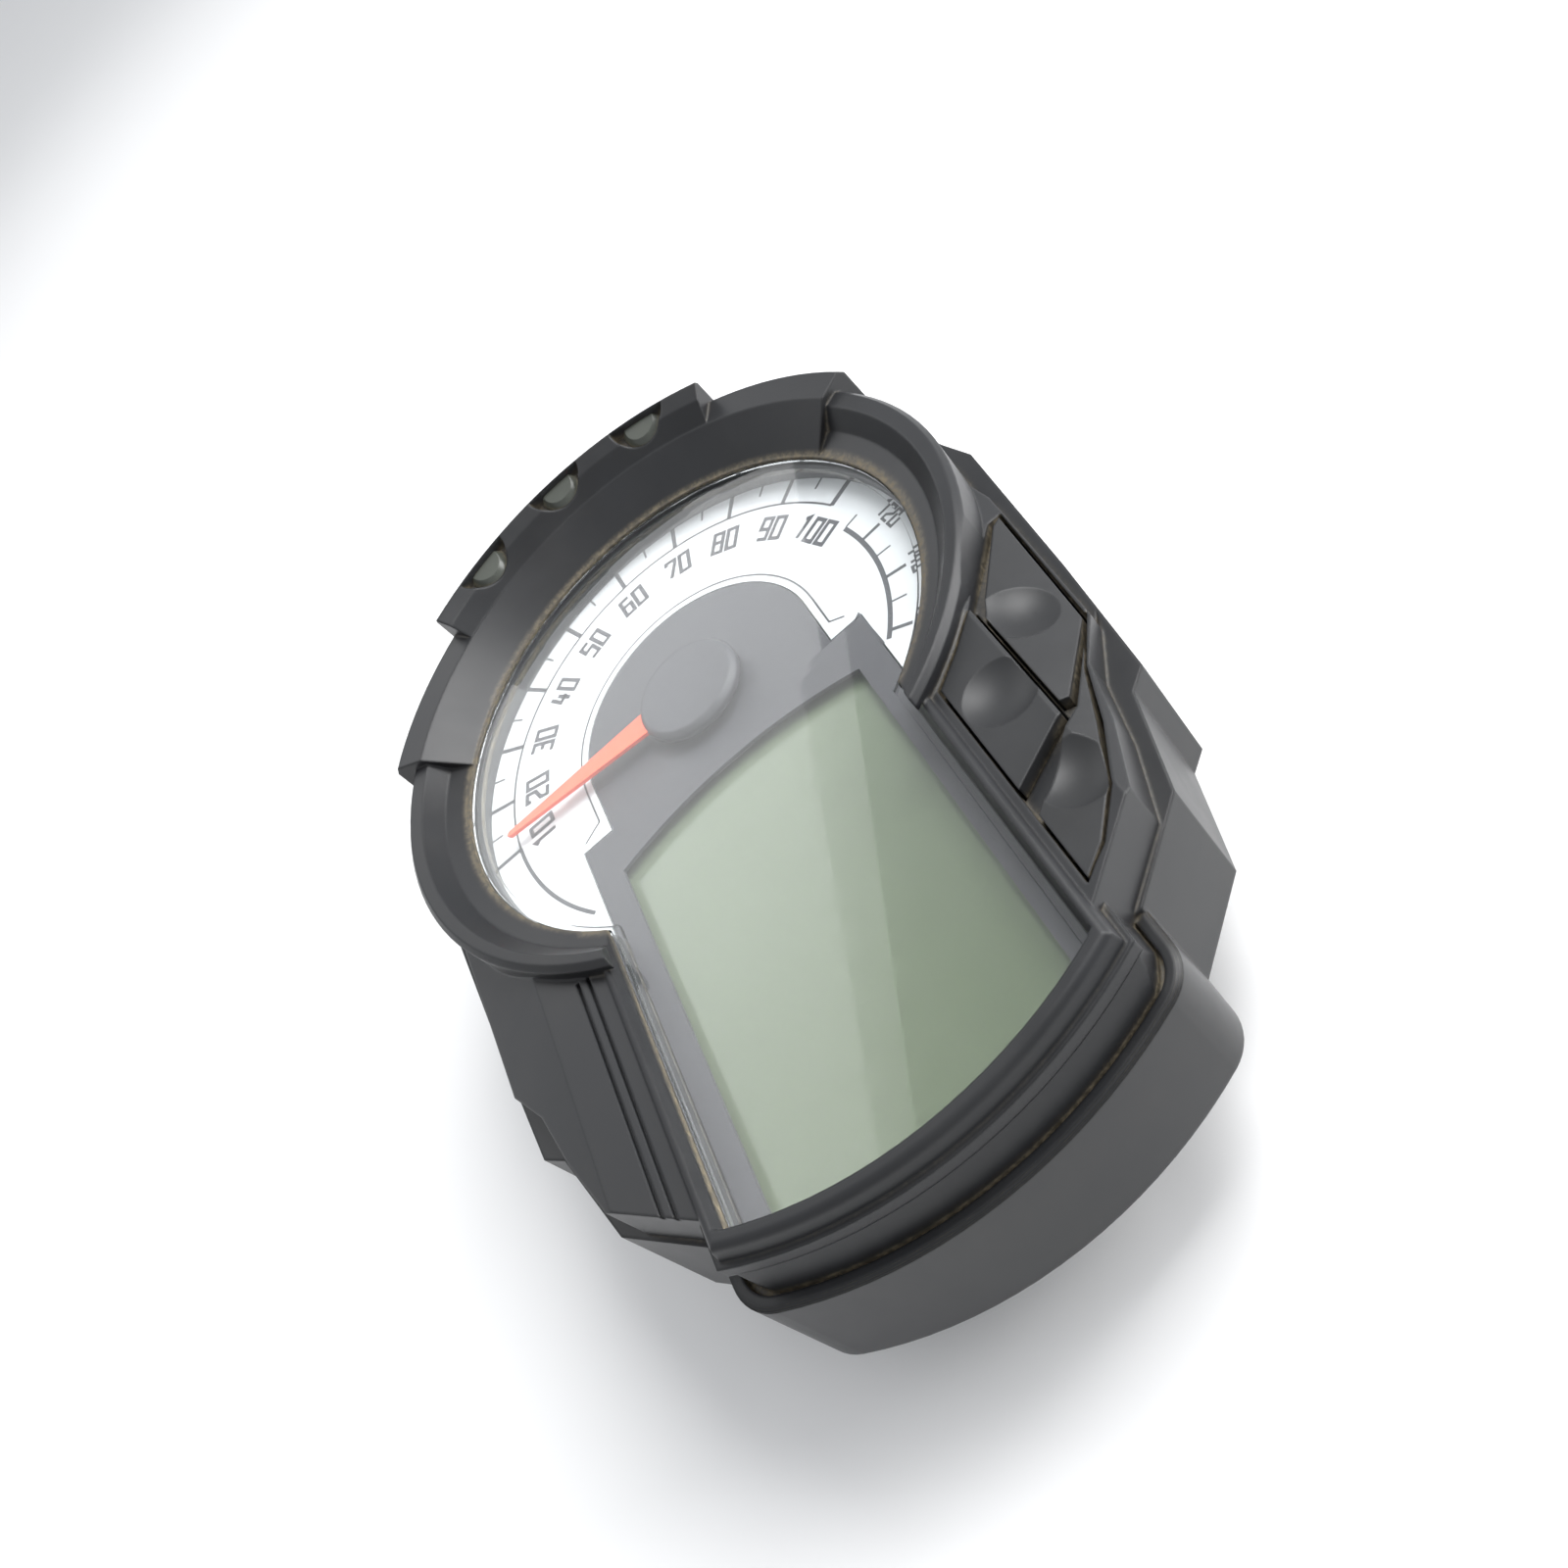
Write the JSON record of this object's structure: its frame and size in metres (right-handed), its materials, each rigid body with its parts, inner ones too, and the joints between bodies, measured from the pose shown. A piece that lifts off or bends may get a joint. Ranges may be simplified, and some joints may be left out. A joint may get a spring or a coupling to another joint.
{
  "type": "instrument cluster",
  "caption": "Off-road vehicle instrument cluster: pointer speedometer over a liquid crystal display, side buttons, indicator lamps above, dark plastic case.",
  "frame": {"origin": "centre of the rectangle of rear mounting inserts, on the plane of their outer faces", "axes": "+Z points out of the dial towards the rider, square to the dial; +Y runs up the dial from the display to the indicator lamps; +X is the rider's right"},
  "size_m": [0.13, 0.1827, 0.0645],
  "materials": {
    "case_plastic": "fine moulded texture, satin",
    "window": "clear, glossy",
    "seal_rubber": "matte",
    "dial_print": "smooth matte white print",
    "mask_print": "smooth matte bluish grey print",
    "surround_plastic": "smooth satin",
    "pointer_plastic": "translucent orange, satin",
    "hub_plastic": "smoked, glossy",
    "display_glass": "grey green liquid crystal, glossy",
    "white_plastic": "white, matte",
    "contact_rubber": "striped silicone",
    "clear_plastic": "clear acrylic",
    "circuit_board": "green solder mask",
    "screw_steel": "zinc plated",
    "motor_plastic": "natural, matte",
    "stator_steel": "stamped sheet",
    "copper_wire": "enamelled wire",
    "magnet": "sintered magnet",
    "gear_plastic": "acetal, satin",
    "chip_plastic": "moulded resin",
    "capacitor_can": "bare can",
    "lamp_resin": "phosphor resin",
    "indicator_plastic": "smoked grey green, satin",
    "button_plastic": "fine moulded texture, satin",
    "plunger_plastic": "satin",
    "ribbon": "flat ribbon",
    "insert_brass": "machined",
    "pin_metal": "gold flashed",
    "vent_membrane": "porous white cap"
  },
  "bodies": {
    "case": {"front_bezel": "case_plastic", "window_lens": "window", "lens_gasket": "seal_rubber", "dial_plate": "dial_print", "display_mask": "mask_print", "dial_surround": "surround_plastic", "display_glass": "display_glass", "display_diffuser": "white_plastic", "display_frame": "white_plastic", "display_contact_strips": "contact_rubber", "dial_light_guide": "clear_plastic", "dial_carrier": "white_plastic", "main_board": "circuit_board", "board_screws": "screw_steel", "motor_base": "motor_plastic", "motor_cover": "motor_plastic", "motor_stator": "stator_steel", "motor_coils": "copper_wire", "microcontroller": "chip_plastic", "display_driver": "chip_plastic", "power_parts": "chip_plastic", "capacitors": "capacitor_can", "dial_lamps": "lamp_resin", "indicator_lamps": "lamp_resin", "light_pipe_left": "clear_plastic", "light_pipe_centre": "clear_plastic", "light_pipe_right": "clear_plastic", "indicator_lens_left": "indicator_plastic", "indicator_lens_centre": "indicator_plastic", "indicator_lens_right": "indicator_plastic", "button_guide": "case_plastic", "button_board": "circuit_board", "button_board_screws": "screw_steel", "button_switches": "chip_plastic", "button_ribbon": "ribbon", "rear_housing": "case_plastic", "housing_seal": "seal_rubber", "case_screws": "screw_steel", "mount_inserts": "insert_brass", "connector_shell": "case_plastic", "connector_pins": "pin_metal", "breather_vent": "vent_membrane"},
    "pointer": {"pointer": "pointer_plastic", "pointer_hub_cap": "hub_plastic", "motor_output_gear": "gear_plastic"},
    "middle_gear": {"motor_middle_gear": "gear_plastic"},
    "rotor": {"motor_rotor": "magnet"},
    "upper_key": {"upper_button": "button_plastic", "upper_plunger": "plunger_plastic"},
    "middle_key": {"middle_button": "button_plastic", "middle_plunger": "plunger_plastic"},
    "lower_key": {"lower_button": "button_plastic", "lower_plunger": "plunger_plastic"}
  },
  "joints": [
    {"name": "pointer_turn", "type": "hinge", "parent": "case", "child": "pointer", "pos_m": [0, 0.025, 0.046], "axis": [0, 0, 1], "range_deg": [-212, 19.5]},
    {"name": "middle_gear_turn", "type": "hinge", "parent": "case", "child": "middle_gear", "pos_m": [0.012, 0.025, 0.032], "axis": [0, 0, 1], "range_deg": [-97.5, 1060]},
    {"name": "rotor_turn", "type": "hinge", "parent": "case", "child": "rotor", "pos_m": [0.01433, 0.03369, 0.032], "axis": [0, 0, 1], "range_deg": [-5300, 487.5]},
    {"name": "upper_button_press", "type": "slide", "parent": "case", "child": "upper_key", "axis": [0, 0, -1], "range_m": [0, 0.0006], "stiffness_N_per_m": 2500},
    {"name": "middle_button_press", "type": "slide", "parent": "case", "child": "middle_key", "axis": [0, 0, -1], "range_m": [0, 0.0006], "stiffness_N_per_m": 2500},
    {"name": "lower_button_press", "type": "slide", "parent": "case", "child": "lower_key", "axis": [0, 0, -1], "range_m": [0, 0.0006], "stiffness_N_per_m": 2500}
  ],
  "couplings": [
    {"joint": "middle_gear_turn", "follows": "pointer_turn", "ratio": -5},
    {"joint": "rotor_turn", "follows": "pointer_turn", "ratio": 25}
  ]
}
